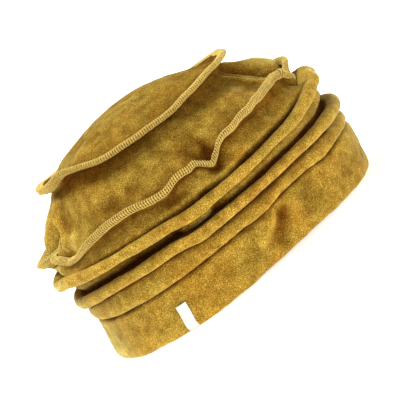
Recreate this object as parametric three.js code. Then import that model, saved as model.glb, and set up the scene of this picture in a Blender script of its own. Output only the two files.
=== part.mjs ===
// A fleece beanie in millimetres: a domed top panel, an upper side panel and a lower side panel with two
// rolled tucks, joined by two seams whose overlocked edges stand outside, and a bare label on the hem.
// +X is the wearer's front, +Y the wearer's left, +Z up, and the hem stands on Z = 0.
import * as THREE from "three";

// Driving dimensions.
const COLUMNS = 72; // flat facets round the head
const FLEECE = 2.2; // one layer of cloth
const HEM_DEPTH = 4.8; // the turned-in hem, two layers thick
const SEWN = 1.6; // one layer under the overlock stitches
const THREAD = 0.7; // the stitches that bind an edge
const HALF_GAP = 0.15; // from the middle of a seam to each layer
const BIND_GAP = 0.25; // from the cloth to its binding
const NARROW_FRONT = 0.13; // how much narrower the head is in front than behind
const MIDDLE_X = 1.6; // the outline's middle, measured from the middle of the hem
const HEM_BEVEL = 1.6; // how the hem's inner corner is rounded
const HEM_TURN = 2; // how far above the pleat line the turned-in hem ends
const GROOVE_HALF = 1; // half the flat at the bottom of the groove between the tucks
const FLEECE_COLOUR = 0xa88132;
const THREAD_COLOUR = 0xd7b464;
const LABEL_COLOUR = 0xf2f0ea;
const LABEL = { at: 240, width: 7, top: 19, thick: 0.9, lift: 0.3 };

// Heights that the folds are given at.
const LEVELS = {
  hem: 0,
  pleat: 31.5,
  lower_tuck: 49.5,
  upper_tuck: 64,
  neck: 70,
  lower_seam: 79,
  tier: 96,
  shoulder: 112,
  upper_seam: 120,
  crown: 136.8,
};

// Outer ovals: height, reach behind and in front, and half the width.
const RINGS = {
  hem_under: { z: 0, back: 101.2, front: 102.6, side: 84.2 },
  hem_corner: { z: 1.6, back: 103.4, front: 105, side: 85.8 },
  hem_low: { z: 5, back: 104.4, front: 106.6, side: 86.8 },
  band_low: { z: 13, back: 103, front: 108.3, side: 87.8 },
  band_high: { z: 27, back: 100.6, front: 110.6, side: 88.6 },
  pleat: { z: 31.5, back: 98.6, front: 108.8, side: 86.6 },
  pleat_top: { z: 35, back: 100.4, front: 110.4, side: 88.2 },
  tuck_foot: { z: 43.5, back: 99.6, front: 109.4, side: 87.4 },
  lower_tuck: { z: 49.5, back: 99, front: 107.4, side: 86.7 },
  groove: { z: 56.5, back: 96.4, front: 106, side: 84.4 },
  upper_tuck: { z: 64, back: 104, front: 107, side: 86.7 },
  neck: { z: 70, back: 100.5, front: 103.5, side: 84.8 },
  lower_seam: { z: 79, back: 98.5, front: 97.5, side: 83 },
  tier_foot: { z: 88, back: 95, front: 94.5, side: 80.5 },
  tier: { z: 96, back: 87.5, front: 86.5, side: 75 },
  tier_high: { z: 104, back: 81, front: 79, side: 68.5 },
  shoulder: { z: 112, back: 75, front: 71.5, side: 60.5 },
  upper_seam: { z: 119.5, back: 71.5, front: 65.5, side: 53.5 },
  dome_foot: { z: 122.8, back: 65, front: 58, side: 47.5 },
  dome_low: { z: 127.2, back: 57, front: 44, side: 38.5 },
  dome_mid: { z: 132, back: 39, front: 30, side: 26.5 },
  dome_high: { z: 135.8, back: 21, front: 15.5, side: 13.5 },
  crown: { z: 136.8, back: 0, front: 0, side: 0 },
};

// Each seam: its root oval, how far its two layers reach out, their slope and where the stitches begin.
// wall is where the wall below or above leaves the edge, and heel is the bend on the inside of the hat.
const UPPER_SEAM = { ring: RINGS.upper_seam, reach: 10, slope: 8, stitched_from: 5, wall: 2.5, heel: 0 };
const LOWER_SEAM = { ring: RINGS.lower_seam, reach: 9, slope: 55, stitched_from: 3.4, wall: 1.2, heel: -1.5 };
const TIER_HEEL = { out: -3.2, up: 1 }; // the upper panel's bend behind the lower seam

// A tuck's rolled section, out from and up from its oval.
const ROLL = [
  { out: 2.5, up: -3.8 },
  { out: 6, up: -2.7 },
  { out: 7.1, up: 0 },
  { out: 6, up: 2.7 },
  { out: 2.5, up: 3.8 },
];

// Folds: the angle of the middle, the spread to each side, and the depth or lift at the levels named.
const FOLDS = [
  { at: 180, spread: 12, inward: { neck: 4, lower_seam: 14, tier: 9, shoulder: 5, upper_seam: 2 } },
  {
    at: 163,
    spread: 24,
    inward: { neck: -3, lower_seam: -8.5, tier: -7.5, shoulder: -3 },
    lift: { neck: -2, lower_seam: -6 },
  },
  {
    at: 201,
    spread: 24,
    inward: { lower_seam: 3, tier: 8, shoulder: 3 },
    lift: { neck: -2, lower_seam: -7, tier: -2 },
  },
  {
    at: 358,
    spread: 12,
    inward: { lower_seam: 3, tier: 7, shoulder: 4 },
    lift: { neck: -4, lower_seam: -8, tier: -2 },
  },
  { at: 24, spread: 28, inward: { lower_seam: -7, tier: -12, shoulder: -5 }, lift: { lower_seam: 3, tier: 2 } },
  { at: 338, spread: 26, inward: { lower_seam: 4, tier: 6, shoulder: 4 } },
  { at: 180, spread: 40, lift: { lower_tuck: -2.5, upper_seam: 2 } },
  { at: 5, spread: 60, lift: { upper_tuck: 10, neck: 1 } },
  { at: 330, spread: 80, lift: { pleat: 5 } },
  { at: 222, spread: 24, inward: { upper_seam: 4 }, lift: { upper_seam: 5 } },
  { at: 125, spread: 60, lift: { shoulder: -2.5, upper_seam: -4 } },
  { at: 60, spread: 60, lift: { shoulder: -2.5, upper_seam: -4 } },
  { at: 240, spread: 18, lift: { lower_seam: 4 } },
  { at: 286, spread: 12, inward: { lower_seam: 2, tier: 3 }, lift: { neck: -2, lower_seam: -7 } },
  { at: 316, spread: 26, lift: { lower_seam: 6, tier: 2 } },
  { at: 291, spread: 9, inward: { hem: -1, pleat: -2.5 } },
  { at: 302, spread: 12, inward: { hem: 1, pleat: 3, lower_tuck: 1 } },
  { at: 128, spread: 26, inward: { tier: -2 }, lift: { lower_seam: 4 } },
  { at: 92, spread: 20, inward: { tier: 3 }, lift: { neck: -1, lower_seam: -5 } },
  { at: 58, spread: 24, inward: { tier: -2 }, lift: { lower_seam: 2 } },
];

const radians = THREE.MathUtils.degToRad;

// A fold's value at a height, in a straight line from each named level to the next.
function atHeight(values = {}, z) {
  const names = Object.keys(LEVELS);
  const top = names.findIndex((name) => LEVELS[name] >= z);
  const above = names[top < 0 ? names.length - 1 : top];
  const below = names[Math.max(0, names.indexOf(above) - 1)];
  const rise = LEVELS[above] - LEVELS[below] || 1;
  const share = THREE.MathUtils.clamp((z - LEVELS[below]) / rise, 0, 1);
  return THREE.MathUtils.lerp(values[below] ?? 0, values[above] ?? 0, share);
}

// How far all the folds move the cloth at an angle and a height.
function foldAt(angle, z) {
  let inward = 0;
  let lift = 0;
  for (const fold of FOLDS) {
    const away = Math.abs(((angle - fold.at + 540) % 360) - 180);
    if (away >= fold.spread) continue;
    const weight = 0.5 + 0.5 * Math.cos((Math.PI * away) / fold.spread);
    inward += weight * atHeight(fold.inward, z);
    lift += weight * atHeight(fold.lift, z);
  }
  return { inward, lift };
}

// The point at an angle on a section point: an oval, moved out along its normal and up, and folded.
function place({ ring, out, up }, angle) {
  const [cos, sin] = [Math.cos(radians(angle)), Math.sin(radians(angle))];
  const reach = (ring.front + ring.back) / 2;
  const fold = foldAt(angle, ring.z);
  const normal = new THREE.Vector2(cos * ring.side, sin * reach).normalize();
  const move = reach > 0 ? out - fold.inward : 0;
  return new THREE.Vector3(
    (ring.front - ring.back) / 2 - MIDDLE_X + reach * cos + move * normal.x,
    ring.side * sin * (1 - NARROW_FRONT * cos) + move * normal.y,
    ring.z + up + fold.lift,
  );
}

// A section point on an oval, and one on a seam's edge: along its slope, and across it towards the crown.
const on = (ring, out = 0, up = 0) => ({ ring, out, up });
function edge(seam, along, across) {
  const slope = radians(seam.slope);
  const out = along * Math.cos(slope) - across * Math.sin(slope);
  return on(seam.ring, out, along * Math.sin(slope) + across * Math.cos(slope));
}

// A closed mesh over columns of points. Round the head the last column meets the first, and a strip that
// stops short has its two ends closed, between its outer points and its inner ones in the opposite order.
function skin(section, angles, round) {
  const positions = [];
  const count = section.length;
  const columns = angles.map((angle) => section.map((point) => place(point, angle)));
  const triangle = (a, b, c) => {
    if (a.distanceTo(b) > 1e-6 && b.distanceTo(c) > 1e-6 && c.distanceTo(a) > 1e-6)
      for (const point of [a, b, c]) positions.push(point.x, point.y, point.z);
  };
  const quad = (a, b, c, d) => {
    triangle(a, b, c);
    triangle(a, c, d);
  };
  const steps = round ? angles.length : angles.length - 1;
  for (let step = 0; step < steps; step++) {
    const [here, next] = [columns[step], columns[(step + 1) % angles.length]];
    for (let row = 0; row < count; row++) {
      const above = (row + 1) % count;
      quad(here[row], next[row], next[above], here[above]);
    }
  }
  if (!round) {
    const [first, last] = [columns[0], columns[columns.length - 1]];
    for (let row = 0; row < count / 2 - 1; row++) {
      const inner = count - 1 - row;
      quad(first[row], first[row + 1], first[inner - 1], first[inner]);
      quad(last[row], last[inner], last[inner - 1], last[row + 1]);
    }
  }
  const geometry = new THREE.BufferGeometry();
  geometry.setAttribute("position", new THREE.Float32BufferAttribute(positions, 3));
  geometry.computeVertexNormals();
  return geometry;
}

const headAngles = Array.from({ length: COLUMNS }, (_, column) => (column * 360) / COLUMNS);

// The tuck's roll on its oval.
const roll = (ring) => ROLL.map(({ out, up }) => on(ring, out, up));

// Outside from the hem up to the lower seam's edge, then down the inside: one layer above, two at the hem.
function lowerSidePanel() {
  const outer = SEWN + HALF_GAP;
  return [
    on(RINGS.hem_under),
    on(RINGS.hem_corner),
    on(RINGS.hem_low),
    on(RINGS.band_low),
    on(RINGS.band_high),
    on(RINGS.pleat),
    on(RINGS.pleat_top),
    on(RINGS.tuck_foot),
    ...roll(RINGS.lower_tuck),
    on(RINGS.groove, 0, -GROOVE_HALF),
    on(RINGS.groove, 0, GROOVE_HALF),
    ...roll(RINGS.upper_tuck),
    on(RINGS.neck),
    edge(LOWER_SEAM, 0, -outer),
    edge(LOWER_SEAM, LOWER_SEAM.reach, -outer),
    edge(LOWER_SEAM, LOWER_SEAM.reach, -HALF_GAP),
    edge(LOWER_SEAM, LOWER_SEAM.heel, -HALF_GAP),
    on(RINGS.neck, -FLEECE),
    on(RINGS.groove, -FLEECE),
    on(RINGS.tuck_foot, -FLEECE),
    on(RINGS.pleat_top, -FLEECE, HEM_TURN),
    on(RINGS.pleat_top, -HEM_DEPTH),
    on(RINGS.band_low, -HEM_DEPTH),
    on(RINGS.hem_corner, -HEM_DEPTH),
    on(RINGS.hem_under, -HEM_DEPTH + HEM_BEVEL),
  ];
}

// From the lower seam's edge up the sloping wall to the upper seam's edge, and down the inside.
function upperSidePanel() {
  const face = SEWN + HALF_GAP;
  const walls = [RINGS.tier_foot, RINGS.tier, RINGS.tier_high, RINGS.shoulder];
  const inside = walls.map((ring) => on(ring, -FLEECE, -FLEECE / 2));
  return [
    edge(LOWER_SEAM, LOWER_SEAM.reach, HALF_GAP),
    edge(LOWER_SEAM, LOWER_SEAM.reach, face),
    edge(LOWER_SEAM, LOWER_SEAM.wall, face),
    ...walls.map((ring) => on(ring)),
    edge(UPPER_SEAM, UPPER_SEAM.wall, -face),
    edge(UPPER_SEAM, UPPER_SEAM.reach, -face),
    edge(UPPER_SEAM, UPPER_SEAM.reach, -HALF_GAP),
    edge(UPPER_SEAM, UPPER_SEAM.heel, -HALF_GAP),
    ...inside.reverse(),
    on(RINGS.lower_seam, TIER_HEEL.out, TIER_HEEL.up),
    edge(LOWER_SEAM, 0, HALF_GAP),
  ];
}

// From the upper seam's edge over the dome to the crown, and back on the inside.
function topPanel() {
  const domes = [RINGS.dome_foot, RINGS.dome_low, RINGS.dome_mid, RINGS.dome_high];
  const inside = domes.map((ring) => on(ring, -FLEECE / 3, -FLEECE));
  return [
    edge(UPPER_SEAM, UPPER_SEAM.reach, HALF_GAP),
    edge(UPPER_SEAM, UPPER_SEAM.reach, SEWN + HALF_GAP),
    edge(UPPER_SEAM, 0, SEWN + HALF_GAP),
    ...domes.map((ring) => on(ring)),
    on(RINGS.crown),
    on(RINGS.crown, 0, -FLEECE),
    ...inside.reverse(),
    edge(UPPER_SEAM, UPPER_SEAM.heel, HALF_GAP),
  ];
}

// The stitches round both layers' ends, as one C-shaped binding.
function overlockEdge(seam) {
  const inner = HALF_GAP + SEWN + BIND_GAP;
  const outer = inner + THREAD;
  const end = seam.reach + BIND_GAP;
  return [
    edge(seam, seam.stitched_from, -outer),
    edge(seam, end, -outer),
    edge(seam, end + THREAD, -inner),
    edge(seam, end + THREAD, inner),
    edge(seam, end, outer),
    edge(seam, seam.stitched_from, outer),
    edge(seam, seam.stitched_from, inner),
    edge(seam, end, inner),
    edge(seam, end, -inner),
    edge(seam, seam.stitched_from, -inner),
  ];
}

// A bare tape that lies on the band and ends at the hem's edge.
function labelStrip() {
  const path = [RINGS.hem_corner, RINGS.hem_low, RINGS.band_low].map((ring) => on(ring, LABEL.lift));
  path.push(on(RINGS.band_low, LABEL.lift, LABEL.top - RINGS.band_low.z));
  const outside = path.map(({ ring, out, up }) => on(ring, out + LABEL.thick, up));
  return [...outside, ...path.reverse()];
}

function mesh(name, geometry, color) {
  const material = new THREE.MeshStandardMaterial({ color, roughness: 0.95, metalness: 0 });
  const made = new THREE.Mesh(geometry, material);
  made.name = name;
  return made;
}

const labelHalf = THREE.MathUtils.radToDeg(LABEL.width / 2 / RINGS.hem_low.side);
const labelAngles = [-labelHalf, 0, labelHalf].map((turn) => LABEL.at + turn);

const beanie = new THREE.Group();
beanie.add(
  mesh("top_panel", skin(topPanel(), headAngles, true), FLEECE_COLOUR),
  mesh("upper_side_panel", skin(upperSidePanel(), headAngles, true), FLEECE_COLOUR),
  mesh("lower_side_panel", skin(lowerSidePanel(), headAngles, true), FLEECE_COLOUR),
  mesh("upper_overlock_edge", skin(overlockEdge(UPPER_SEAM), headAngles, true), THREAD_COLOUR),
  mesh("lower_overlock_edge", skin(overlockEdge(LOWER_SEAM), headAngles, true), THREAD_COLOUR),
  mesh("label", skin(labelStrip(), labelAngles, false), LABEL_COLOUR),
);

export default beanie;
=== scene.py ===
import math

import bmesh
import bpy
import numpy as np
from mathutils import Matrix, Vector


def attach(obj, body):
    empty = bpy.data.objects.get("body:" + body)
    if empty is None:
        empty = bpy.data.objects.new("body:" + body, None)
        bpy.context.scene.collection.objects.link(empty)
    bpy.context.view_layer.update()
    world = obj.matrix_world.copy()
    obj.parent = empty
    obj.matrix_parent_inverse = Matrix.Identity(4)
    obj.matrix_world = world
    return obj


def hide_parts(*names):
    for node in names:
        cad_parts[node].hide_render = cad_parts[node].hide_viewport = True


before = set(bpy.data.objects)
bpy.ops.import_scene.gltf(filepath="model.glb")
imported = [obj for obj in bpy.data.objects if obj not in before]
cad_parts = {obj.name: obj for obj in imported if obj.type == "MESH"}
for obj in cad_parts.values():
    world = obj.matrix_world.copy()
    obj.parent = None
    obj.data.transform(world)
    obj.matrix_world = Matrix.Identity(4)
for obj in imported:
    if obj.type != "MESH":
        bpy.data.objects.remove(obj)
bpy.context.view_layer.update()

bl_info = {
    "name": "Fleece beanie",
    "version": (1, 0, 0),
    "blender": (4, 5, 0),
    "location": "View3D > Sidebar > Beanie",
    "description": "Models a fleece beanie with two overlocked seams and two rolled tucks",
    "category": "Object",
}

# All lengths in the tables are millimetres, and all angles are degrees round the hat from the front.
# +X is the wearer's front, +Y the wearer's left, and the hem stands on Z = 0.
MM = 0.001

# The cloth, and the outline that it takes.
SEWN = 1.3  # one layer under the overlock stitches
HALF_GAP = 0.15  # from the middle of a seam to each layer
HEM_DEPTH = 4.8  # the turned-in hem, two layers thick
INNER_WALL = (-2.2, -1.1)  # the sloping wall's inner face, out from and up from its outer ovals
INNER_DOME = (-0.7, -2.2)  # the dome's, likewise
NARROW_FRONT = 0.13  # how much narrower the hat is in front than behind
MIDDLE_X = 1.6  # the outline's middle, measured from the middle of the hem

# Heights that the folds are given at.
LEVELS = {
    "hem": 0,
    "pleat": 31.5,
    "lower_tuck": 49.5,
    "groove": 54.5,
    "upper_tuck": 64,
    "neck": 70,
    "lower_seam": 79,
    "tier": 96,
    "shoulder": 112,
    "upper_seam": 120,
    "crown": 136.8,
}

# Outer ovals: height, reach behind, reach in front, half the width.
RINGS = {
    "hem_under": (0, 101.2, 102.6, 84.2),
    "hem_corner": (1.6, 103.4, 105, 85.8),
    "hem_low": (5, 104.4, 106.6, 86.8),
    "band_low": (13, 103, 108.3, 87.8),
    "band_high": (27, 100.6, 110.6, 88.6),
    "pleat": (31.5, 98.6, 108.8, 86.6),
    "pleat_top": (35, 100.4, 110.4, 88.2),
    "tuck_foot": (43.5, 99.6, 109.4, 87.4),
    "lower_tuck": (49.5, 99, 107.4, 86.7),
    "groove": (56.5, 96.4, 106, 84.4),
    "upper_tuck": (64, 104, 107, 86.7),
    "neck": (70, 100.5, 103.5, 84.8),
    "lower_seam": (79, 98.5, 97.5, 83),
    "tier_foot": (88, 95, 94.5, 80.5),
    "tier": (96, 87.5, 86.5, 75),
    "tier_high": (104, 81, 79, 68.5),
    "shoulder": (112, 75, 71.5, 60.5),
    "upper_seam": (119.5, 71.5, 65.5, 53.5),
    "dome_foot": (122.8, 65, 58, 47.5),
    "dome_low": (127.2, 57, 44, 38.5),
    "dome_mid": (132, 39, 30, 26.5),
    "dome_high": (135.8, 21, 15.5, 13.5),
    "crown": (136.8, 0, 0, 0),
}

# Each seam: its root oval, how far its two layers reach out, where the stitches begin, and its bend
# inside the hat. Its slope changes round the hat, and so does how much of it is tucked in before
# the stitches.
UPPER_SEAM = {
    "ring": "upper_seam",
    "reach": 10,
    "stitched_from": 5,
    "heel": -2,
    "slopes": {0: 12, 30: 10, 90: 8, 150: 10, 180: 14, 198: 40, 212: 38, 228: 20, 250: 10, 305: 8, 345: 14},
    "tucked": {0: 0},
}
LOWER_SEAM = {
    "ring": "lower_seam",
    "reach": 9,
    "stitched_from": 4.6,
    "heel": -1.5,
    "slopes": {0: 50, 90: 50, 163: 40, 180: 30, 203: -5, 214: 8, 228: 38, 250: 36, 275: 22, 290: 20,
               306: 36, 320: 62, 334: 80, 347: 66},
    "tucked": {0: 0, 172: 0, 188: 3.4, 212: 3.4, 228: 1.2, 242: 0},
}

# A tuck's rolled section, out from and up from its oval, and its size round the hat.
ROLL = (
    (-3, -2.2), (-0.8, -2.8), (1.6, -3.9), (3.8, -4.2), (5.7, -3.4), (6.8, -1.8),
    (7.2, 0), (6.8, 1.8), (5.7, 3.4), (3.8, 4.2), (1.6, 3.9), (-0.8, 2.8), (-3, 2.2),
)
ROLL_SIZES = {0: 1.2, 25: 1.15, 90: 0.95, 170: 0.92, 200: 1.04, 225: 0.92, 242: 0.93, 257: 1.06, 268: 1.02,
              284: 0.87, 304: 0.85, 322: 1.02, 340: 1.15}

# Folds: the angle of the middle, the spread to each side, and the depth or lift at the levels named.
FOLDS = (
    {"at": 181, "spread": 12,
     "inward": {"neck": 1, "lower_seam": 17, "tier": 12, "shoulder": 7, "upper_seam": 2}},
    {"at": 163, "spread": 24,
     "inward": {"neck": -3, "lower_seam": -8.5, "tier": -7.5, "shoulder": -3},
     "lift": {"neck": -2, "lower_seam": -6}},
    {"at": 201, "spread": 24,
     "inward": {"lower_seam": 3, "tier": 2.5},
     "lift": {"neck": -2, "lower_seam": -7, "tier": -2}},
    {"at": 358, "spread": 13,
     "inward": {"neck": 5, "lower_seam": 4, "tier": 15, "shoulder": 10},
     "lift": {"neck": -4, "lower_seam": -8, "tier": -2}},
    {"at": 24, "spread": 28,
     "inward": {"lower_seam": -7, "tier": -12, "shoulder": -5},
     "lift": {"lower_seam": 3, "tier": 2}},
    {"at": 338, "spread": 26, "inward": {"lower_seam": 0.5, "tier": 5, "shoulder": 4}},
    {"at": 180, "spread": 40, "lift": {"lower_tuck": -2.5, "groove": -1.5, "upper_seam": 2}},
    {"at": 5, "spread": 60, "lift": {"groove": 3, "upper_tuck": 10, "neck": 1}},
    {"at": 330, "spread": 80, "lift": {"pleat": 5}},
    {"at": 222, "spread": 24, "inward": {"upper_seam": 2}, "lift": {"shoulder": 1, "upper_seam": 5}},
    {"at": 125, "spread": 60, "lift": {"shoulder": -2.5, "upper_seam": -4}},
    {"at": 60, "spread": 60, "lift": {"shoulder": -2.5, "upper_seam": -4}},
    {"at": 240, "spread": 18, "lift": {"lower_seam": 4}},
    {"at": 283, "spread": 11, "inward": {"lower_seam": 2, "tier": 3}, "lift": {"neck": -2, "lower_seam": -7}},
    {"at": 316, "spread": 26, "lift": {"lower_seam": 6, "tier": 2}},
    {"at": 291, "spread": 9, "inward": {"hem": -1, "pleat": -2.5}},
    {"at": 302, "spread": 12, "inward": {"hem": 1, "pleat": 3, "lower_tuck": 1}},
    {"at": 128, "spread": 26, "inward": {"tier": -2}, "lift": {"lower_seam": 4}},
    {"at": 92, "spread": 20, "inward": {"tier": 3}, "lift": {"neck": -1, "lower_seam": -5}},
    {"at": 58, "spread": 24, "inward": {"tier": -2}, "lift": {"lower_seam": 2}},
    {"at": 244, "spread": 50, "inward": {"groove": 7}},
    {"at": 290, "spread": 50, "inward": {"groove": 3}},
    {"at": 90, "spread": 70, "inward": {"groove": 4}},
    {"at": 194, "spread": 13, "sharp": True, "inward": {"lower_seam": -1, "tier": -2.5, "shoulder": -4}},
    {"at": 344, "spread": 12, "sharp": True,
     "inward": {"neck": -1.5, "lower_seam": -1, "tier": -1, "shoulder": 2.5}},
    {"at": 310, "spread": 34, "inward": {"shoulder": 3.5, "upper_seam": 1}},
)

# Further lift of the cloth at a level, angle by angle.
RISES = {
    "hem": {0: 0, 40: 0, 250: 0, 264: 1, 276: 2, 290: 2.9, 304: 2.3, 322: 1.9, 340: 0.9},
    "pleat": {0: 0, 200: 0, 235: 1, 262: 1.8, 274: 1.6, 281: 0, 292: 1, 305: -0.5, 320: -3.5, 340: -2},
    "lower_tuck": {0: 0, 185: 0, 205: 1.7, 225: 3, 250: 3, 262: 0, 310: 0, 330: -0.5},
    "groove": {0: 0, 185: 0, 205: 2.6, 230: 3.5, 252: 3, 265: 0, 280: -0.3, 300: 0.5},
    "upper_tuck": {0: 0, 180: 0, 203: 4.5, 235: 4, 252: 2.7, 266: -0.4, 280: -0.3, 290: 0, 305: 1, 320: 0.5},
    "lower_seam": {0: 0, 172: 0, 184: 3, 192: 8, 198: 9, 206: 6, 213: 4, 226: 3.6, 240: 2.8, 250: 4.6,
                   262: 3.3, 270: 7, 274: 6.8, 278: 10.2, 280.5: 8.6, 283: 6, 286: 7.6, 289.5: 9.5, 300: 6.4,
                   311: 2.9, 317: 1, 325: 2.8, 334: 5, 339: 4.6, 344: 0.5, 348: -4, 353: -5.5, 357: -4},
    "upper_seam": {0: 0, 160: 0, 180: -2.5, 192: -2.8, 205: -1, 225: 1, 240: 2.2, 256: 1, 270: 0, 290: -1.3,
                   302: 0, 324: 0.9, 338: 0},
}

# Soft creases, dents and crests: the angle and height of both ends, how wide each is, and how deep. Their
# depth also gives the fleece painted shade, and a crest's height gives it a painted highlight.
CREASES = (
    (194, 91, 210, 89, 5, -2.5),
    (188.5, 111, 202, 89, 2.6, -3.5),
    (182.5, 108, 194, 90, 4.5, 3.5),
    (178, 88, 178, 112, 7, 2),
    (4, 88, 4, 116, 9, 4.5),
    (343, 109, 345, 91, 2.6, -2),
    (353.5, 107, 354, 93, 4.5, 2.5),
    (350, 71, 349.5, 82, 3, -1.5),
    (358, 70, 358, 84, 5, 2.5),
    (289.5, 92, 288.5, 84, 3.2, 1.8),
    (268, 108, 281, 90, 6, 1.4),
    (247, 98, 256, 103, 4, 1.2),
    (227, 92, 237, 96, 6, 1.2),
    (258.5, 76, 267.5, 75, 3, 2),
    (273.5, 77, 281, 80, 2.6, -1.2),
    (300, 35, 296, 26, 7, 2.2),
    (296, 26, 289, 13.5, 6.5, 1.8),
    (292, 37, 290, 28, 3, -1.8),
    (290, 28, 282, 20, 3.4, -1.6),
    (276, 33.4, 282, 31, 1.4, 1.4),
    (272.5, 62, 275, 68, 2.2, 1.4),
    (257, 56, 270, 57, 3, -4.5),
)

MM_PER_DEGREE = 1.55  # along the wall, for the creases' width

# Where stitches hold the cloth: how far along a seam it is held fully, and how much of its unevenness
# they take away.
HELD_FROM = 4
HELD = 0.85

# How deep each point lies, for the fleece's painted shade in hollows and painted highlight on ridges: near
# and wide hollows, each as rounds of evening out and its share, the share of a crease's depth, and the depth
# added under the stitches as painted shade.
HOLLOW_SPANS = ((60, 1), (300, 0.3))
CREASE_SHARE = 0.25
PRESSED_SHADE = 1.1
HOLLOW_RANGE = (-1.0, 2.0)  # the depths that the fleece's colours run between

# The label's tape on the band, as the frame places it, and the ovals that it lies along.
LABEL = {"at": 240, "top": 19, "foot": 1.2, "lift": 0.5, "curl": 0.9}
LABEL_RINGS = ("hem_under", "hem_corner", "hem_low", "band_low", "band_high")

# The photograph's view: its centre is this far above the hem, and its frame is this wide.
VIEW = {"height": 51.6, "width": 265.2, "distance": 3000, "elevation": 10, "roll": 37.7}

# The light: the pale room's strength, and each lamp's place and size in metres, its power and colour.
ROOM = 0.26
LAMPS = {
    "low_front_softbox": {"at": (1.1, -1.4, 0.35), "size": 0.9, "power": 6, "colour": (1, 0.93, 0.82)},
    "top_softbox": {"at": (-0.5, 0.0, 2.0), "size": 1.0, "power": 53, "colour": (0.94, 1, 1)},
}
LIT = (0, 0, 0.06)  # the point in the hat that the lamps face


# Small tools

def linear(hex_colour):
    """A colour given as sRGB hex digits, in Blender's linear light."""
    values = [int(hex_colour[start:start + 2], 16) / 255 for start in (0, 2, 4)]
    return tuple(value / 12.92 if value <= 0.04045 else ((value + 0.055) / 1.055) ** 2.4 for value in values)


def deselect():
    """Object mode with nothing selected."""
    if bpy.context.object and bpy.context.object.mode != "OBJECT":
        bpy.ops.object.mode_set(mode="OBJECT")
    bpy.ops.object.select_all(action="DESELECT")


def pick(piece):
    """Makes one object the only selected one, and the active one."""
    deselect()
    piece.select_set(True)
    bpy.context.view_layer.objects.active = piece


def add_modifier(piece, kind, **settings):
    """Adds a modifier with its settings and applies it."""
    pick(piece)
    bpy.ops.object.modifier_add(type=kind)
    modifier = piece.modifiers[-1]
    for name, value in settings.items():
        setattr(modifier, name, value)
    bpy.ops.object.modifier_apply(modifier=modifier.name)


def get_points(piece):
    """The piece's vertices as rows of x, y and z."""
    points = np.empty(len(piece.data.vertices) * 3)
    piece.data.vertices.foreach_get("co", points)
    return points.reshape(-1, 3)


def set_points(piece, points):
    """Moves every vertex of the piece."""
    piece.data.vertices.foreach_set("co", np.ascontiguousarray(points).ravel())
    piece.data.update()


def face_out(piece):
    """Merges doubles and turns every face outwards."""
    pick(piece)
    bpy.ops.object.mode_set(mode="EDIT")
    bpy.ops.mesh.select_all(action="SELECT")
    bpy.ops.mesh.remove_doubles(threshold=1e-6)
    bpy.ops.mesh.normals_make_consistent(inside=False)
    bpy.ops.object.mode_set(mode="OBJECT")


def finish_piece(piece, node, material):
    """Gives a finished piece its material in a slot and its body, and hides the CAD part of its node."""
    pick(piece)
    bpy.ops.object.transform_apply(location=True, rotation=True, scale=True)
    bpy.ops.object.shade_smooth()
    piece.data.materials.clear()
    piece.data.materials.append(material)
    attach(piece, "root")
    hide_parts(node)


# The hat's form

def on(ring, out=0, up=0):
    """A section point on an oval, moved out and up from it, and on neither a seam nor a roll."""
    return (*RINGS[ring], out, up, 0, 0, 0, 0, 0)


def edge(seam, along, across):
    """A section point on a seam: along its slope, and across it towards the crown."""
    place_on = (along, across, 0, 0) if seam is UPPER_SEAM else (0, 0, along, across)
    return (*RINGS[seam["ring"]], 0, 0, *place_on, 0)


def ease(share):
    """A share from 0 to 1, slow at both ends."""
    return share * share * (3 - 2 * share)


def between(stops, values, at):
    """A value at each place, eased from one stop to the next."""
    stops = np.asarray(stops, float)
    values = np.asarray(values, float)
    at = np.clip(at, stops[0], stops[-1])
    step = np.clip(np.searchsorted(stops, at, side="right") - 1, 0, len(stops) - 2)
    share = ease((at - stops[step]) / (stops[step + 1] - stops[step]))
    return values[step] + (values[step + 1] - values[step]) * share


def around(table, angles):
    """A value that changes round the hat, eased from one stated angle to the next."""
    stops = list(table)
    values = [table[stop] for stop in stops]
    return between(stops + [stops[0] + 360], values + [values[0]], (angles - stops[0]) % 360 + stops[0])


def folds(angles, z):
    """How far all the folds move the cloth inwards and up."""
    inward = 0
    lift = 0
    for fold in FOLDS:
        away = np.abs((angles - fold["at"] + 180) % 360 - 180)
        near = np.clip(1 - away / fold["spread"], 0, 1)
        weight = near ** 2 if "sharp" in fold else 0.5 - 0.5 * np.cos(np.pi * near)
        for key in ("inward", "lift"):
            if key not in fold:
                continue
            values = [fold[key].get(level, 0) for level in LEVELS]
            moved = weight * between(list(LEVELS.values()), values, z)
            if key == "inward":
                inward = inward + moved
            else:
                lift = lift + moved
    for level, table in RISES.items():
        share = [float(name == level) for name in LEVELS]
        lift = lift + around(table, angles) * between(list(LEVELS.values()), share, z)
    return inward, lift


def crease_depth(points):
    """How deep the creases are at placed points, all in millimetres."""
    x, y, z = points.T
    angles = np.degrees(np.arctan2(y, x + MIDDLE_X)) % 360
    total = 0
    for first, low, last, high, width, depth in CREASES:
        run = np.array([(last - first) * MM_PER_DEGREE, high - low])
        away = np.stack([((angles - first + 180) % 360 - 180) * MM_PER_DEGREE, z - low], axis=-1)
        share = np.clip(away @ run / (run @ run), 0, 1)
        gap = np.linalg.norm(away - share[:, None] * run, axis=1)
        total = total + depth * np.exp(-(gap / width) ** 2)
    return total


def press_creases(points):
    """Presses the creases into placed points, given and returned in millimetres."""
    inwards = points * (1, 1, 0) + (MIDDLE_X, 0, 0)
    share = crease_depth(points) / np.maximum(np.linalg.norm(inwards, axis=1), 1)
    return points - inwards * share[:, None]


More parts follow.
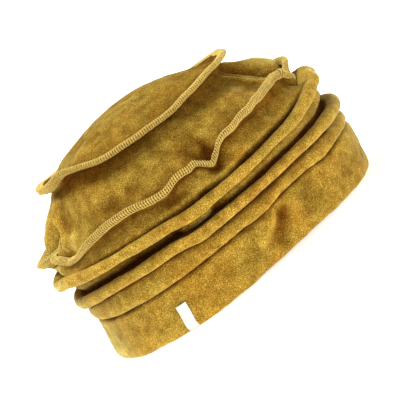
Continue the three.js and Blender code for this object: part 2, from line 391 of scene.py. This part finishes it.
def place(points, angles):
    """Where section points lie on the folded hat at the angles given, as rows of metres."""
    z, back, front, side, out, up, *seams, rolled = points
    turn = np.radians(angles)
    cos = np.cos(turn)
    sin = np.sin(turn)
    size = 1 + rolled * (around(ROLL_SIZES, angles) - 1)
    out = out * size
    up = up * size
    for seam, along, across in ((UPPER_SEAM, *seams[:2]), (LOWER_SEAM, *seams[2:])):
        slope = np.radians(around(seam["slopes"], angles))
        along = along - around(seam["tucked"], angles) * np.minimum(along / seam["stitched_from"], 1)
        out = out + along * np.cos(slope) - across * np.sin(slope)
        up = up + along * np.sin(slope) + across * np.cos(slope)
    inward, lift = folds(angles, z)
    reach = (front + back) / 2
    normal = np.maximum(np.hypot(cos * side, sin * reach), 1e-9)
    move = np.where(reach > 0, out - inward, 0) / normal
    x = (front - back) / 2 - MIDDLE_X + reach * cos + move * cos * side
    y = side * sin * (1 - NARROW_FRONT * cos) + move * sin * reach
    return np.stack([x, y, z + up + lift], axis=-1) * MM


def section_rows(stations, pitch):
    """Rows through every station of a section, and on a smooth curve between them at about the pitch."""
    stations = np.array(stations, float)
    flat = place(stations.T, np.full(len(stations), 270.0)) / MM
    lengths = np.maximum(np.linalg.norm(np.diff(flat, axis=0), axis=1), 1e-3)
    slopes = np.diff(stations, axis=0) / lengths[:, None]
    inner = slopes[:-1] * lengths[1:, None] + slopes[1:] * lengths[:-1, None]
    tangents = np.vstack([slopes[0], inner / (lengths[:-1] + lengths[1:])[:, None], slopes[-1]])
    rows = []
    for number, length in enumerate(lengths):
        steps = max(1, round(length / pitch))
        for share in np.arange(steps) / steps:
            rest = 1 - share
            rows.append(
                stations[number] * (1 + 2 * share) * rest ** 2
                + stations[number + 1] * (3 - 2 * share) * share ** 2
                + tangents[number] * length * share * rest ** 2
                - tangents[number + 1] * length * rest * share ** 2
            )
    return rows


def roll(ring, start=0):
    """The tuck's roll on its oval, from the stated point of its section."""
    return [(*on(ring, out, up)[:-1], 1) for out, up in ROLL[start:]]


def sewn_face(seam, side):
    """One layer's face from the seam's root to its stitched end, thick, then pressed by the stitches."""
    start = seam["stitched_from"]
    reach = seam["reach"]
    marks = ((0.2, 1.5), (start - 1.6, 1.5), (start - 0.5, 1.35), (start + 0.2, 1.1),
             (start + 1.2, 1.4), (reach - 1, 1.4), (reach - 0.2, 1.1), (reach, 0.7))
    return [edge(seam, along, across * side) for along, across in marks]


def gap_face(seam, side, root):
    """One layer's face in the gap between a seam's two layers, from its cut edge in to the stated root."""
    reach = seam["reach"]
    marks = ((reach, 0.4), (reach - 0.6, HALF_GAP), (root, HALF_GAP))
    return [edge(seam, along, across * side) for along, across in marks]


def lower_panel_section():
    """Outside from the hem up to the lower seam's edge, then down the inside."""
    outside = [
        on("hem_under", -1.6),
        on("hem_under"),
        on("hem_corner"),
        on("hem_low"),
        on("band_low"),
        on("band_high", 0.2),
        on("pleat", 2, -2.6),
        on("pleat", 1, -1),
        on("pleat", -1, 0),
        on("pleat", 0.2, 0.6),
        on("pleat", 2.3, 0.9),
        on("pleat", 3, 2.6),
        on("pleat_top", 1.2, 3),
        on("tuck_foot", 0.8, -1.5),
        on("lower_tuck", -0.6, -4.8),
        *roll("lower_tuck", 2),
        on("groove", -1.5, -3),
        on("groove", 2.2, 0.5),
        *roll("upper_tuck"),
        on("neck", -0.6, -1.8),
        on("neck", 1.8, 2.4),
        *sewn_face(LOWER_SEAM, -1),
    ]
    inside = [
        *gap_face(LOWER_SEAM, -1, LOWER_SEAM["heel"]),
        on("neck", -3.4),
        on("groove", -6),
        on("tuck_foot", -3.6),
        on("pleat_top", -2.2, 2),
        on("pleat_top", -3.6, 1.4),
        on("pleat_top", -HEM_DEPTH, -0.6),
        on("band_low", -HEM_DEPTH),
        on("hem_corner", -HEM_DEPTH),
        on("hem_under", -HEM_DEPTH + 1.2),
        on("hem_under", -1.6),
    ]
    return outside, inside


def upper_panel_section():
    """From the lower seam's edge up the sloping wall to the upper seam's edge, and down the inside."""
    low = sewn_face(LOWER_SEAM, 1)
    high = sewn_face(UPPER_SEAM, -1)
    outside = [
        *reversed(low),
        on("tier_foot", 0.6, -2),
        on("tier", 0.4),
        on("tier_high", 0.4),
        on("shoulder"),
        *high,
    ]
    inside = [
        *gap_face(UPPER_SEAM, -1, UPPER_SEAM["heel"]),
        on("shoulder", *INNER_WALL),
        on("tier_high", *INNER_WALL),
        on("tier", *INNER_WALL),
        on("tier_foot", *INNER_WALL),
        on("lower_seam", -3.2, 1),
        *reversed(gap_face(LOWER_SEAM, 1, 0)),
        low[-1],
    ]
    return outside, inside


def top_panel_section():
    """From the crown over the dome to the upper seam's edge, and back to the crown on the inside."""
    outside = [
        on("crown"),
        on("dome_high"),
        on("dome_mid"),
        on("dome_low"),
        on("dome_foot"),
        *sewn_face(UPPER_SEAM, 1),
    ]
    inside = [
        *gap_face(UPPER_SEAM, 1, UPPER_SEAM["heel"]),
        on("dome_foot", *INNER_DOME),
        on("dome_low", *INNER_DOME),
        on("dome_mid", *INNER_DOME),
        on("dome_high", *INNER_DOME),
        on("crown", 0, INNER_DOME[1]),
    ]
    return outside, inside


def panel_rows(section, pitch, inside_pitch):
    """Rows round a panel's section: close on the outside, where they show, and wider on the inside."""
    outside, inside = section
    return section_rows(outside + inside[:1], pitch) + section_rows(inside, inside_pitch)


# Modelling

def bridged_tube(name, columns, rows):
    """A plain tube with a loop of edges for each row, its two ends bridged into a closed ring of cloth."""
    half = 0.05
    deselect()
    bpy.ops.mesh.primitive_cylinder_add(
        vertices=columns, radius=0.1, depth=2 * half, end_fill_type="NOTHING"
    )
    tube = bpy.context.object
    tube.name = name
    bpy.ops.object.mode_set(mode="EDIT")
    bpy.ops.mesh.select_mode(type="EDGE")
    bpy.ops.mesh.select_all(action="DESELECT")
    cage = bmesh.from_edit_mesh(tube.data)
    for line in cage.edges:
        line.select_set(abs(line.verts[0].co.z - line.verts[1].co.z) > half)
    bmesh.update_edit_mesh(tube.data)
    bpy.ops.mesh.subdivide_edgering(number_cuts=rows - 2, interpolation="LINEAR")
    bpy.ops.mesh.select_all(action="DESELECT")
    bpy.ops.mesh.select_non_manifold(
        extend=False, use_wire=False, use_boundary=True,
        use_multi_face=False, use_non_contiguous=False, use_verts=False,
    )
    bpy.ops.mesh.bridge_edge_loops()
    bpy.ops.object.mode_set(mode="OBJECT")
    x, y, z = get_points(tube).T
    row = np.rint((z / half + 1) / 2 * (rows - 1)).astype(int)
    return tube, row, np.degrees(np.arctan2(y, x)) % 360


def pressed_ball(name, columns, rows):
    """A ball with one pole for the crown's outside and the other for its inside."""
    deselect()
    bpy.ops.mesh.primitive_uv_sphere_add(segments=columns, ring_count=rows - 1, radius=0.1)
    ball = bpy.context.object
    ball.name = name
    x, y, z = get_points(ball).T
    row = np.rint(np.arccos(np.clip(z / 0.1, -1, 1)) / math.pi * (rows - 1)).astype(int)
    return ball, row, np.degrees(np.arctan2(y, x)) % 360


def nap_texture(name, size):
    """A cloud pattern of the size given in millimetres."""
    texture = bpy.data.textures.new(name, type="CLOUDS")
    texture.noise_scale = size * MM
    texture.noise_depth = 1
    return texture


def drape(piece, row, angles, rows, smooth=True):
    """Pulls a plain start over the section's rows, smooths it and raises its crumples and nap."""
    sizes = bpy.context.scene.beanie_sizes
    stations = np.array(rows)
    set_points(piece, press_creases(place(stations[row].T, angles) / MM) * MM)
    loose = piece.vertex_groups.new(name="loose")
    sewn = np.clip(np.maximum(stations[:, 6], stations[:, 8]) / HELD_FROM, 0, 1)
    for number, share in enumerate(1 - HELD * sewn):
        loose.add(np.nonzero(row == number)[0].tolist(), share, "REPLACE")
    face_out(piece)
    if smooth:
        add_modifier(piece, "SUBSURF", levels=1, render_levels=1)
    for name, size, height in (
        ("crumple", 22, sizes.crumple),
        ("pile", 5, sizes.pile),
        ("nap", 1.6, sizes.nap),
    ):
        add_modifier(piece, "DISPLACE", texture=nap_texture(name, size), strength=height,
                     mid_level=0.5, texture_coords="LOCAL", vertex_group="loose")
    points = get_points(piece)
    points[:, 2] = np.maximum(points[:, 2], 0)
    set_points(piece, points)
    mark_hollows(piece)


def mark_hollows(piece):
    """Stores how deep each vertex lies, in millimetres, for the material to paint shade in hollows and a
    highlight on ridges; stitched pile lies flat and is counted deeper, so it gets painted shade.
    """
    mesh = piece.data
    points = get_points(piece) / MM
    ends = np.empty(len(mesh.edges) * 2, dtype=np.int32)
    mesh.edges.foreach_get("vertices", ends)
    first, second = ends.reshape(-1, 2).T
    count = np.bincount(ends, minlength=len(points))
    even = points.copy()
    normals = np.empty(len(points) * 3)
    mesh.vertices.foreach_get("normal", normals)
    # Painted shade in creases and painted highlight on crests, from the creases' depth.
    depth = CREASE_SHARE * crease_depth(points)
    # Painted shade in hollows: how far each point lies below the evened-out cloth round it.
    for rounds, share in HOLLOW_SPANS:
        for _ in range(rounds):
            for axis in range(3):
                column = even[:, axis]
                total = np.bincount(first, column[second], len(points))
                total += np.bincount(second, column[first], len(points))
                even[:, axis] = (column + total / count) / 2
        depth = depth + share * ((even - points) * normals.reshape(-1, 3)).sum(axis=1)
    loose = np.array([vertex.groups[0].weight for vertex in mesh.vertices])
    # Painted shade under the stitches: the pressed pile counts as deeper, so it darkens between the thread
    # bars.
    depth = depth + PRESSED_SHADE * (1 - loose)
    hollow = mesh.attributes.new("hollow", "FLOAT", "POINT")
    hollow.data.foreach_set("value", depth)


def seam_line(seam):
    """Fine steps of angle round the seam's edge, and the length along it up to each."""
    angles = np.linspace(0, 360, 3601)
    point = np.array(edge(seam, seam["reach"], 0), float)
    line = place(point[:, None] * np.ones_like(angles), angles)
    lengths = np.concatenate([[0], np.cumsum(np.linalg.norm(np.diff(line, axis=0), axis=1))])
    return angles, lengths


def stitch(seam, pitch, thickness):
    """One overlock stitch: a needle thread on each face and a looped bar over the cloth's edge."""
    start = seam["stitched_from"]
    reach = seam["reach"]
    face = SEWN + HALF_GAP + 0.1
    # Each row: along the seam, out from its root, and across it towards the crown.
    path = (
        (-0.9 * pitch, start, -face),
        (-0.1 * pitch, start, -face - 0.15),
        (0.05 * pitch, reach - 0.6, -face - 0.05),
        (0.15 * pitch, reach + 0.5, -face * 0.55),
        (0.2 * pitch, reach + 0.8, 0),
        (0.25 * pitch, reach + 0.5, face * 0.55),
        (0.35 * pitch, reach - 0.6, face + 0.05),
        (0.5 * pitch, start, face + 0.15),
        (1.3 * pitch, start, face),
    )
    deselect()
    bpy.ops.curve.primitive_nurbs_path_add()
    thread = bpy.context.object
    spline = thread.data.splines[0]
    spline.type = "POLY"
    spline.points.add(len(path) - len(spline.points))
    for point, (along, out, across) in zip(spline.points, path):
        point.co = (along, out, across, 1)
    thread.data.bevel_depth = thickness / 2
    thread.data.bevel_resolution = 1
    thread.data.use_fill_caps = True
    bpy.ops.object.convert(target="MESH")
    return bpy.context.object


def overlock(name, seam):
    """A row of one stitch repeated, wrapped round the seam's bound edge."""
    sizes = bpy.context.scene.beanie_sizes
    angles, lengths = seam_line(seam)
    total = lengths[-1] / MM
    count = round(total / (sizes.stitch_pitch / MM))
    pitch = total / count
    thread = stitch(seam, pitch, sizes.thread / MM)
    thread.name = name
    add_modifier(thread, "ARRAY", count=count, use_relative_offset=False,
                 use_constant_offset=True, constant_offset_displace=(pitch, 0, 0))
    along, out, across = get_points(thread).T
    spots = np.interp((along % total) * MM, lengths, angles)
    sewn = np.array([edge(seam, *place_on) for place_on in zip(out, across)]).T
    set_points(thread, press_creases(place(sewn, spots) / MM) * MM)
    face_out(thread)
    return thread


# Materials

def add_node(tree, kind, inputs=None, **settings):
    """A node with its settings, and its inputs as values or as links from other nodes' outputs."""
    node = tree.nodes.new(kind)
    for name, value in settings.items():
        setattr(node, name, value)
    for socket, value in (inputs or {}).items():
        if isinstance(value, bpy.types.NodeSocket):
            tree.links.new(value, node.inputs[socket])
        else:
            node.inputs[socket].default_value = value
    return node


def new_material(name):
    """A material with only its output, and its node tree."""
    made = bpy.data.materials.new(name)
    made.use_nodes = True
    made.node_tree.nodes.clear()
    return made, made.node_tree


def grain(tree, position, size, detail=2.0):
    """Noise whose grains are about the size given in millimetres, from 0 to 1."""
    settings = {"Vector": position, "Scale": 1 / (size * MM), "Detail": detail, "Roughness": 0.55}
    return add_node(tree, "ShaderNodeTexNoise", settings).outputs["Fac"]


def colour_ramp(tree, factor, stops):
    """A colour for each stated place on a factor."""
    ramp = add_node(tree, "ShaderNodeValToRGB", {"Fac": factor})
    elements = ramp.color_ramp.elements
    while len(elements) < len(stops):
        elements.new(0.5)
    for element, (spot, colour) in zip(elements, stops):
        element.position = spot
        element.color = (*colour[:3], 1)
    return ramp.outputs["Color"]


def shader(tree, inputs):
    """The surface shader, joined to the material's output."""
    surface = add_node(tree, "ShaderNodeBsdfPrincipled", inputs)
    add_node(tree, "ShaderNodeOutputMaterial", {"Surface": surface.outputs["BSDF"]})


def fleece_material():
    """Brushed polyester fleece: heathered short pile, matt, with a bright fuzz where it turns away, painted
    shade in its hollows and a painted highlight on its ridges.
    """
    colours = bpy.context.scene.beanie_colours
    made, tree = new_material("brushed_polyester_fleece")
    position = add_node(tree, "ShaderNodeTexCoord").outputs["Object"]
    depth = add_node(tree, "ShaderNodeAttribute", attribute_name="hollow").outputs["Fac"]
    hollow = add_node(tree, "ShaderNodeMapRange", {
        "Value": depth, "From Min": HOLLOW_RANGE[0], "From Max": HOLLOW_RANGE[1],
    })
    hollow = hollow.outputs["Result"]
    # Single fibres are too fine to show, so the tufts are drawn as coarse as they need to be. The patches
    # are pile brushed one way or the other, and the broad change of tone is the dye's.
    tufts = grain(tree, position, size=0.65)
    patches = grain(tree, position, size=7, detail=4)
    broad = grain(tree, position, size=26)
    pile = colour_ramp(tree, tufts, (
        (0.32, colours.pile_root), (0.5, colours.pile), (0.69, colours.pile_tip),
    ))
    shade = colour_ramp(tree, patches, (
        (0.3, (0.66, 0.58, 0.44)), (0.7, (1.18, 1.18, 1.16)),
    ))
    tone = colour_ramp(tree, broad, ((0.35, (1.02, 0.93, 0.82)), (0.65, (0.99, 1.04, 1.1))))
    # Painted shade and highlight: the colour darkens and reddens where the cloth lies in a hollow, a crease
    # or under the stitches, and lightens on ridges and crests.
    painted_shade_and_highlight = colour_ramp(tree, hollow, (
        (0.0, (1.4, 1.4, 1.36)), (0.2, (1.12, 1.1, 1.05)), (0.33, (0.88, 0.84, 0.76)),
        (0.6, (0.64, 0.5, 0.34)), (0.95, (0.36, 0.21, 0.1)),
    ))
    fuzz = colour_ramp(tree, hollow, ((0.16, (1, 1, 1)), (0.38, (0.06, 0.06, 0.06))))
    colour = pile
    for layer in (shade, tone, painted_shade_and_highlight):
        mixed = add_node(tree, "ShaderNodeMix", {"Factor": 1.0, 6: colour, 7: layer},
                         data_type="RGBA", blend_type="MULTIPLY")
        colour = mixed.outputs[2]
    rough = add_node(tree, "ShaderNodeBump", {"Strength": 0.8, "Distance": 0.3 * MM, "Height": tufts})
    soft = add_node(tree, "ShaderNodeBump", {
        "Strength": 0.6, "Distance": 1.2 * MM, "Height": patches, "Normal": rough.outputs["Normal"],
    })
    shader(tree, {
        "Base Color": colour,
        "Roughness": 1.0,
        "Specular IOR Level": 0.05,
        "Sheen Weight": fuzz,
        "Sheen Roughness": 0.35,
        "Sheen Tint": (*colours.fuzz[:3], 1),
        "Normal": soft.outputs["Normal"],
    })
    return made


def thread_material():
    """Spun polyester sewing thread: a little smoother and paler than the fleece."""
    colours = bpy.context.scene.beanie_colours
    made, tree = new_material("spun_polyester_thread")
    position = add_node(tree, "ShaderNodeTexCoord").outputs["Object"]
    # The spun fibres are finer than this, and are drawn as coarse as they need to be to show.
    fibres = grain(tree, position, size=0.8, detail=3)
    colour = colour_ramp(tree, fibres, ((0.3, colours.thread_shade), (0.62, colours.thread)))
    bump = add_node(tree, "ShaderNodeBump", {"Strength": 0.5, "Distance": 0.1 * MM, "Height": fibres})
    shader(tree, {
        "Base Color": colour,
        "Roughness": 0.85,
        "Specular IOR Level": 0.15,
        "Normal": bump.outputs["Normal"],
    })
    return made


def tape_material():
    """Woven satin tape: white, with fine crosswise threads."""
    colours = bpy.context.scene.beanie_colours
    made, tree = new_material("woven_satin_tape")
    position = add_node(tree, "ShaderNodeTexCoord").outputs["Object"]
    # The tape has about four threads to the millimetre, drawn twice as coarse to show.
    weave = grain(tree, position, size=0.5, detail=1)
    colour = colour_ramp(tree, weave, ((0.3, [value * 0.9 for value in colours.tape]), (0.7, colours.tape)))
    bump = add_node(tree, "ShaderNodeBump", {"Strength": 0.3, "Distance": 0.05 * MM, "Height": weave})
    shader(tree, {
        "Base Color": colour,
        "Roughness": 0.55,
        "Sheen Weight": 0.1,
        "Normal": bump.outputs["Normal"],
    })
    return made


def paper_material():
    """Matt white background paper, with a barely visible tooth."""
    colours = bpy.context.scene.beanie_colours
    made, tree = new_material("white_background_paper")
    position = add_node(tree, "ShaderNodeTexCoord").outputs["Object"]
    # Real paper's tooth is finer, and is drawn as coarse as it needs to be to show.
    tooth = grain(tree, position, size=2)
    colour = colour_ramp(tree, tooth, (
        (0.3, [value * 0.99 for value in colours.paper]), (0.7, colours.paper),
    ))
    shader(tree, {
        "Base Color": colour,
        "Roughness": 0.9,
        "Specular IOR Level": 0.1,
        "Emission Color": (1, 0.99, 0.97, 1),
        "Emission Strength": 0.8,
    })
    return made


def shared_material(name, make):
    """The material of that name, made on its first use."""
    return bpy.data.materials.get(name) or make()


def finish_panel(panel, node):
    """Gives a finished panel its fleece."""
    finish_piece(panel, node, shared_material("brushed_polyester_fleece", fleece_material))


# What a user may change

def size_property(name, description, millimetres):
    """A length, kept in metres."""
    return bpy.props.FloatProperty(
        name=name, description=description, default=millimetres * MM, min=0, precision=5, unit="LENGTH"
    )


def colour_property(name, description, hex_colour):
    """A colour, given as sRGB hex digits."""
    return bpy.props.FloatVectorProperty(
        name=name, description=description, default=linear(hex_colour), min=0, max=1, subtype="COLOR"
    )


class BeanieSizes(bpy.types.PropertyGroup):
    """Sizes of the cloth's finish and of the stitches"""

    crumple: size_property("Crumple", "Height of the soft unevenness that wearing leaves", 1.2)
    pile: size_property("Pile", "Height of the clumps in the brushed pile", 0.45)
    nap: size_property("Nap", "Height of the single tufts", 0.22)
    thread: size_property("Thread", "Thickness of the overlock thread", 0.88)
    stitch_pitch: size_property("Stitch pitch", "From one overlock stitch to the next", 1.8)
    tape_width: size_property("Tape width", "Width of the label's tape", 7)
    tape_thickness: size_property("Tape thickness", "Thickness of the folded tape", 0.5)


class BeanieColours(bpy.types.PropertyGroup):
    """Colours of the beanie and of the paper it stands on"""

    pile_root: colour_property("Pile root", "Between the tufts", "755412")
    pile: colour_property("Pile", "The fleece's middle tone", "967424")
    pile_tip: colour_property("Pile tip", "The tips of the tufts", "cbaf58")
    fuzz: colour_property("Fuzz", "Loose fibres that catch the light", "f8ec9c")
    thread: colour_property("Thread", "The overlock thread", "edd07a")
    thread_shade: colour_property("Thread shade", "Between the thread's fibres", "ac862b")
    tape: colour_property("Tape", "The label's tape", "eae8e2")
    paper: colour_property("Paper", "The background paper", "fbfbfb")


# The steps

class BEANIE_OT_lower_side_panel(bpy.types.Operator):
    """Models the wall: the turned-in hem, the pleat, two rolled tucks and the lower seam's under layer"""

    bl_idname = "beanie.lower_side_panel"
    bl_label = "Lower side panel"

    def execute(self, context):
        rows = panel_rows(lower_panel_section(), pitch=1.9, inside_pitch=6)
        panel, row, angles = bridged_tube("lower_panel_cloth", columns=240, rows=len(rows))
        drape(panel, row, angles, rows)
        finish_panel(panel, "lower_side_panel")
        return {"FINISHED"}


class BEANIE_OT_upper_side_panel(bpy.types.Operator):
    """Models the sloping wall between the two seams, with its upright folds"""

    bl_idname = "beanie.upper_side_panel"
    bl_label = "Upper side panel"

    def execute(self, context):
        rows = panel_rows(upper_panel_section(), pitch=1.7, inside_pitch=4)
        panel, row, angles = bridged_tube("upper_panel_cloth", columns=300, rows=len(rows))
        drape(panel, row, angles, rows)
        finish_panel(panel, "upper_side_panel")
        return {"FINISHED"}


class BEANIE_OT_top_panel(bpy.types.Operator):
    """Models the domed top and the upper seam's upper layer"""

    bl_idname = "beanie.top_panel"
    bl_label = "Top panel"

    def execute(self, context):
        section = top_panel_section()
        rows = panel_rows(section, pitch=0.9, inside_pitch=3)
        rows.append(np.array(section[1][-1], float))
        panel, row, angles = pressed_ball("top_panel_cloth", columns=480, rows=len(rows))
        drape(panel, row, angles, rows, smooth=False)
        finish_panel(panel, "top_panel")
        return {"FINISHED"}


class BEANIE_OT_overlock_edges(bpy.types.Operator):
    """Sews both seams' edges over with stitches"""

    bl_idname = "beanie.overlock_edges"
    bl_label = "Overlock edges"

    def execute(self, context):
        thread = shared_material("spun_polyester_thread", thread_material)
        for name, seam, node in (
            ("upper_seam_stitches", UPPER_SEAM, "upper_overlock_edge"),
            ("lower_seam_stitches", LOWER_SEAM, "lower_overlock_edge"),
        ):
            finish_piece(overlock(name, seam), node, thread)
        return {"FINISHED"}


class BEANIE_OT_label(bpy.types.Operator):
    """Lays a bare tape on the band, its foot at the hem"""

    bl_idname = "beanie.label"
    bl_label = "Label"

    def execute(self, context):
        sizes = context.scene.beanie_sizes
        deselect()
        bpy.ops.mesh.primitive_grid_add(x_subdivisions=8, y_subdivisions=20, size=2)
        tape = context.object
        tape.name = "hem_label_tape"
        across, height, _ = get_points(tape).T
        half = math.degrees(sizes.tape_width / MM / 2 / RINGS["hem_low"][3])
        share = (height + 1) / 2
        z = LABEL["foot"] + (LABEL["top"] - LABEL["foot"]) * share
        ovals = np.array([RINGS[ring] for ring in LABEL_RINGS])
        ring = np.stack([np.interp(z, ovals[:, 0], column) for column in ovals.T])
        out = LABEL["lift"] + LABEL["curl"] * share ** 3
        points = np.concatenate([ring, [out], np.zeros((6, len(z)))])
        set_points(tape, place(points, LABEL["at"] + across * half))
        add_modifier(tape, "SOLIDIFY", thickness=sizes.tape_thickness, offset=1)
        face_out(tape)
        add_modifier(tape, "BEVEL", width=sizes.tape_thickness * 0.3, segments=2, limit_method="ANGLE")
        finish_piece(tape, "label", shared_material("woven_satin_tape", tape_material))
        return {"FINISHED"}


class BEANIE_OT_stage(bpy.types.Operator):
    """Sets the paper, the lights and the camera at the photograph's angle"""

    bl_idname = "beanie.stage"
    bl_label = "Stage"

    def execute(self, context):
        deselect()
        bpy.ops.mesh.primitive_plane_add(size=40)
        paper = context.object
        paper.name = "background_paper"
        paper.data.materials.append(shared_material("white_background_paper", paper_material))
        self.light_room(context.scene)
        self.set_camera(context.scene)
        return {"FINISHED"}

    def light_room(self, scene):
        """Pale light from all round, a large soft lamp above, and a weak one low in front."""
        world = bpy.data.worlds.new("pale_studio")
        world.use_nodes = True
        background = world.node_tree.nodes["Background"]
        background.inputs["Color"].default_value = (1, 0.98, 0.95, 1)
        background.inputs["Strength"].default_value = ROOM
        scene.world = world
        for name, softbox in LAMPS.items():
            bpy.ops.object.light_add(type="AREA", location=softbox["at"])
            lamp = bpy.context.object
            lamp.name = name
            lamp.data.size = softbox["size"]
            lamp.data.energy = softbox["power"]
            lamp.data.color = softbox["colour"]
            aim = Vector(LIT) - Vector(softbox["at"])
            lamp.rotation_euler = aim.to_track_quat("-Z", "Y").to_euler()
        scene.view_settings.view_transform = "Standard"

    def set_camera(self, scene):
        """The photograph's frame: seen from the wearer's right, rolled so that the crown leans left."""
        tip = math.radians(VIEW["elevation"])
        roll_turn = math.radians(VIEW["roll"])
        side = Vector((1, 0, 0))
        above = Vector((0, math.sin(tip), math.cos(tip)))
        back = Vector((0, -math.cos(tip), math.sin(tip)))
        right = side * math.cos(roll_turn) - above * math.sin(roll_turn)
        up = side * math.sin(roll_turn) + above * math.cos(roll_turn)
        distance = VIEW["distance"] * MM
        bpy.ops.object.camera_add(location=Vector((0, 0, VIEW["height"] * MM)) + back * distance)
        camera = bpy.context.object
        camera.name = "photo_camera"
        camera.rotation_euler = Matrix((right, up, back)).transposed().to_euler()
        camera.data.sensor_fit = "HORIZONTAL"
        camera.data.lens = camera.data.sensor_width * VIEW["distance"] / VIEW["width"]
        camera.data.clip_end = 100
        scene.camera = camera


class BEANIE_PT_steps(bpy.types.Panel):
    """Lists the beanie's steps, sizes and colours"""

    bl_label = "Beanie"
    bl_space_type = "VIEW_3D"
    bl_region_type = "UI"
    bl_category = "Beanie"

    def draw(self, context):
        for step in STEPS:
            self.layout.operator(step.bl_idname)
        for group in (context.scene.beanie_sizes, context.scene.beanie_colours):
            box = self.layout.box()
            for name in group.bl_rna.properties.keys():
                if name not in ("rna_type", "name"):
                    box.prop(group, name)


STEPS = (
    BEANIE_OT_stage,
    BEANIE_OT_lower_side_panel,
    BEANIE_OT_upper_side_panel,
    BEANIE_OT_top_panel,
    BEANIE_OT_overlock_edges,
    BEANIE_OT_label,
)
CLASSES = (BeanieSizes, BeanieColours, *STEPS, BEANIE_PT_steps)


def register():
    """Adds the classes, and the sizes and colours to the scene."""
    for part in CLASSES:
        bpy.utils.register_class(part)
    bpy.types.Scene.beanie_sizes = bpy.props.PointerProperty(type=BeanieSizes)
    bpy.types.Scene.beanie_colours = bpy.props.PointerProperty(type=BeanieColours)


def unregister():
    """Takes them away again."""
    del bpy.types.Scene.beanie_colours
    del bpy.types.Scene.beanie_sizes
    for part in reversed(CLASSES):
        bpy.utils.unregister_class(part)


def main():
    """Makes the whole scene."""
    register()
    for step in STEPS:
        getattr(bpy.ops.beanie, step.bl_idname.split(".")[1])()


if __name__ == "__main__":
    main()
